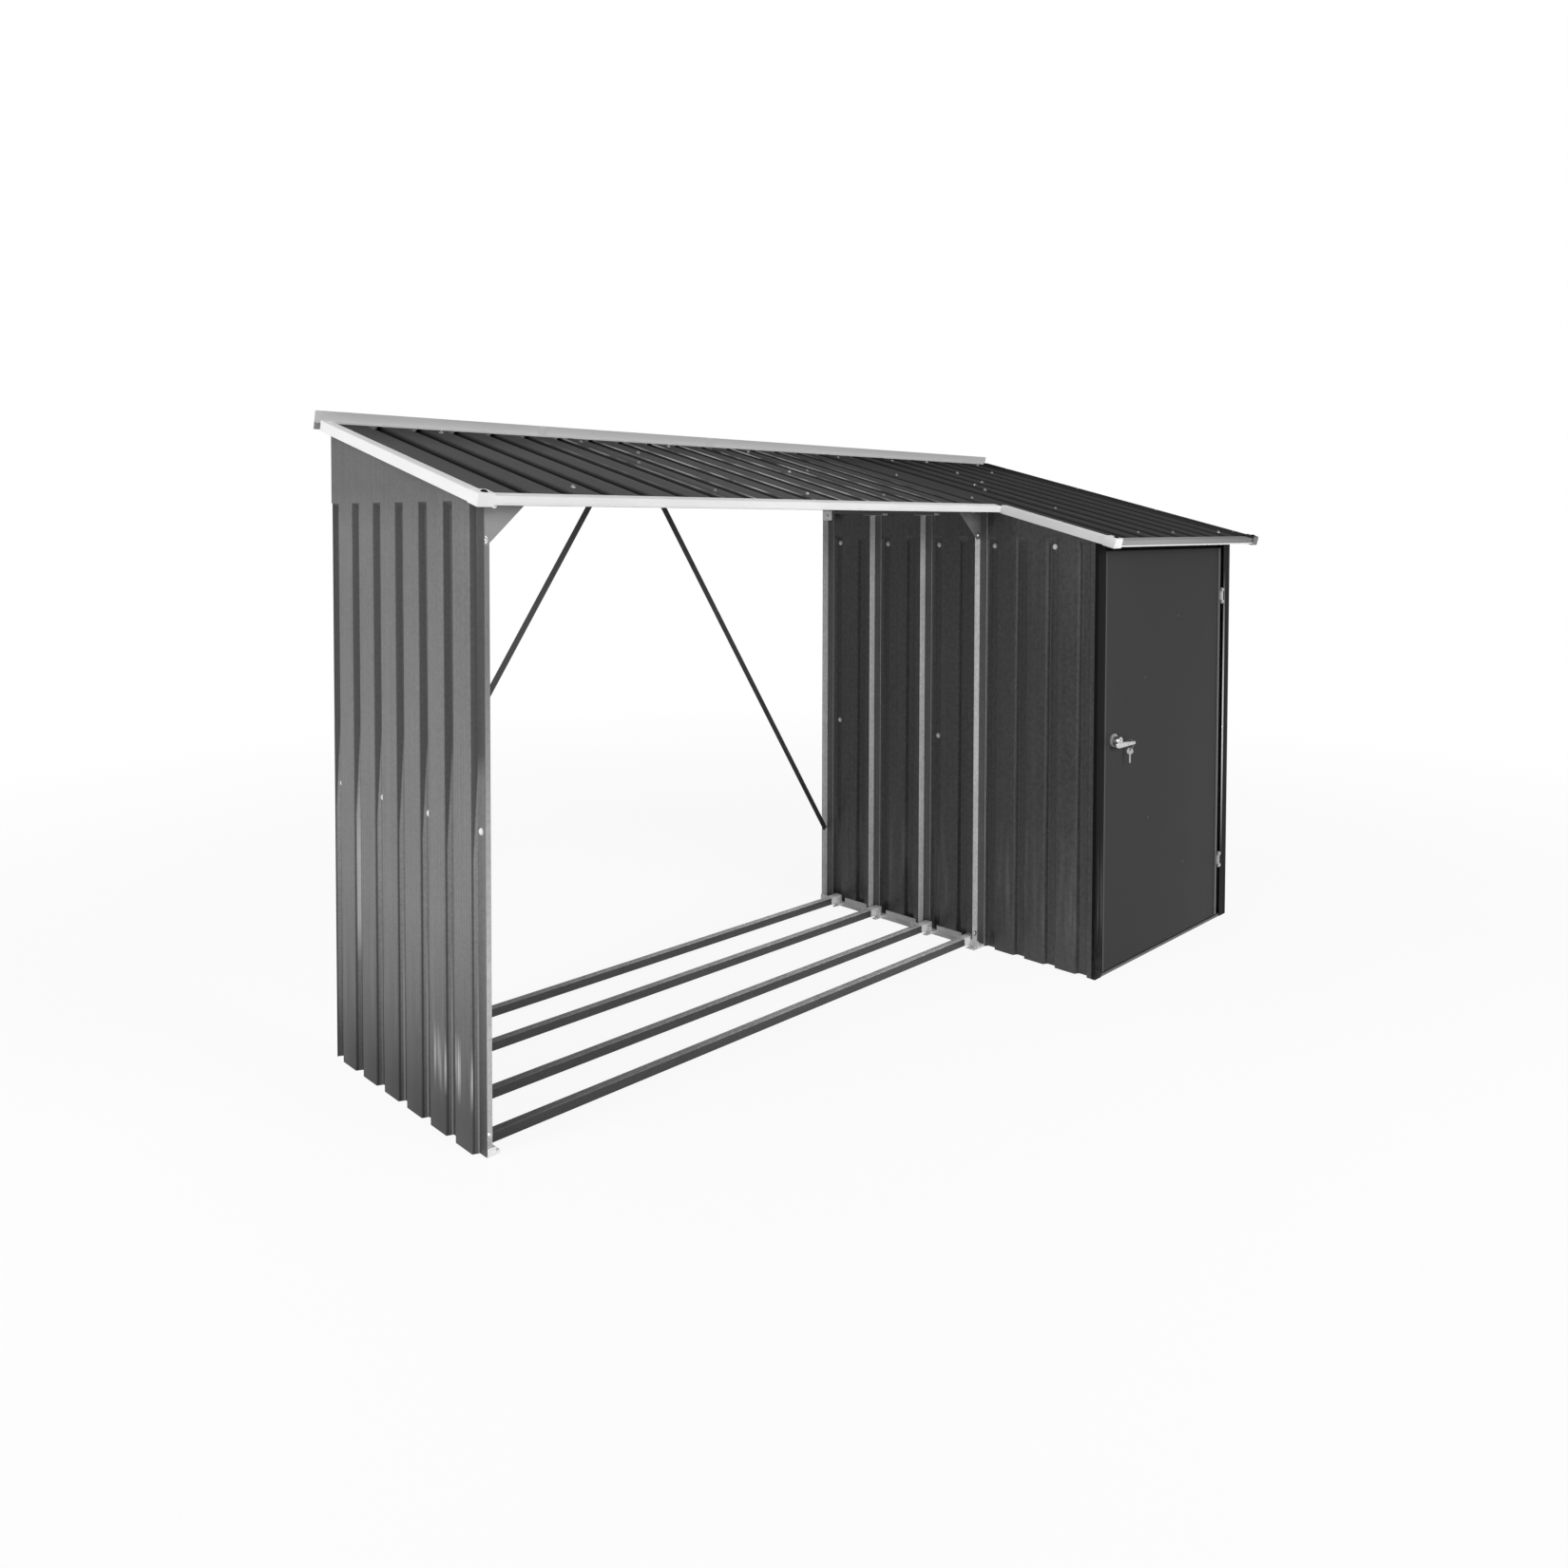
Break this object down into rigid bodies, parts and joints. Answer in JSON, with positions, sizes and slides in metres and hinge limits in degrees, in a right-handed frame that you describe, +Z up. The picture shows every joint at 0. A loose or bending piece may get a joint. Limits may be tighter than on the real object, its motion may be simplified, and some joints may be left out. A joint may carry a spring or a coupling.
{
  "type": "log store with tool shed",
  "caption": "Open-fronted metal log store of ribbed sheet on a galvanised frame, with a pent roof and a lockable tool shed with a hinged door at one end.",
  "frame": {"origin": "middle of the whole part's footprint, roof edges included, on the ground", "axes": "+Z up, +X along the store from the open log bay to the shed, -Y towards the front where the door is"},
  "size_m": [3.182, 1.309, 1.8399],
  "materials": {
    "anthracite_sheet": "satin coated ribbed sheet",
    "anthracite_fold": "satin coated folded strip",
    "door_panel": "satin coated flat panel",
    "galvanised_steel": "dull zinc",
    "white_trim": "satin white coated fold",
    "grey_flashing": "satin light grey coated fold",
    "bright_steel": "bright plated"
  },
  "bodies": {
    "store": {"left_wall": "anthracite_sheet", "shed_left_wall": "anthracite_sheet", "shed_right_wall": "anthracite_sheet", "shed_back_wall": "anthracite_sheet", "bay_roof_sheet_1": "anthracite_sheet", "bay_roof_sheet_2": "anthracite_sheet", "bay_roof_sheet_3": "anthracite_sheet", "shed_roof_sheet_1": "anthracite_sheet", "shed_roof_sheet_2": "anthracite_sheet", "shed_front_left_corner": "anthracite_fold", "shed_front_right_corner": "anthracite_fold", "shed_back_corners": "anthracite_fold", "door_header": "anthracite_fold", "door_jambs": "anthracite_fold", "left_posts": "galvanised_steel", "right_posts": "galvanised_steel", "post_top_plates": "galvanised_steel", "post_feet": "galvanised_steel", "left_top_rail": "galvanised_steel", "right_top_rail": "galvanised_steel", "left_head_rail": "galvanised_steel", "right_head_rail": "galvanised_steel", "floor_rails": "galvanised_steel", "partition_base_rail": "galvanised_steel", "front_beam": "galvanised_steel", "back_beam": "galvanised_steel", "back_braces": "galvanised_steel", "front_gussets": "galvanised_steel", "shed_left_head_rail": "galvanised_steel", "shed_right_head_rail": "galvanised_steel", "shed_back_beam": "galvanised_steel", "shed_base_rails": "galvanised_steel", "shed_back_posts": "galvanised_steel", "door_threshold": "galvanised_steel", "left_verge_trim": "white_trim", "front_eave_trim": "white_trim", "shed_verge_trim": "white_trim", "shed_eave_trim": "white_trim", "right_verge_trim": "white_trim", "corner_caps": "white_trim", "back_flashing": "grey_flashing", "hinge_brackets": "bright_steel"},
    "door": {"door_leaf": "door_panel", "hinge_sleeves": "bright_steel", "handle_rose": "bright_steel"},
    "handle": {"lever_handle": "bright_steel"}
  },
  "joints": [
    {"name": "door_swing", "type": "hinge", "parent": "store", "child": "door", "pos_m": [1.4275, -0.5792, 0.226], "axis": [0, 0, 1], "range_deg": [0, 105]},
    {"name": "handle_turn", "type": "hinge", "parent": "door", "child": "handle", "pos_m": [0.615, -0.5875, 0.796], "axis": [0, 1, 0], "range_deg": [0, 90]}
  ]
}
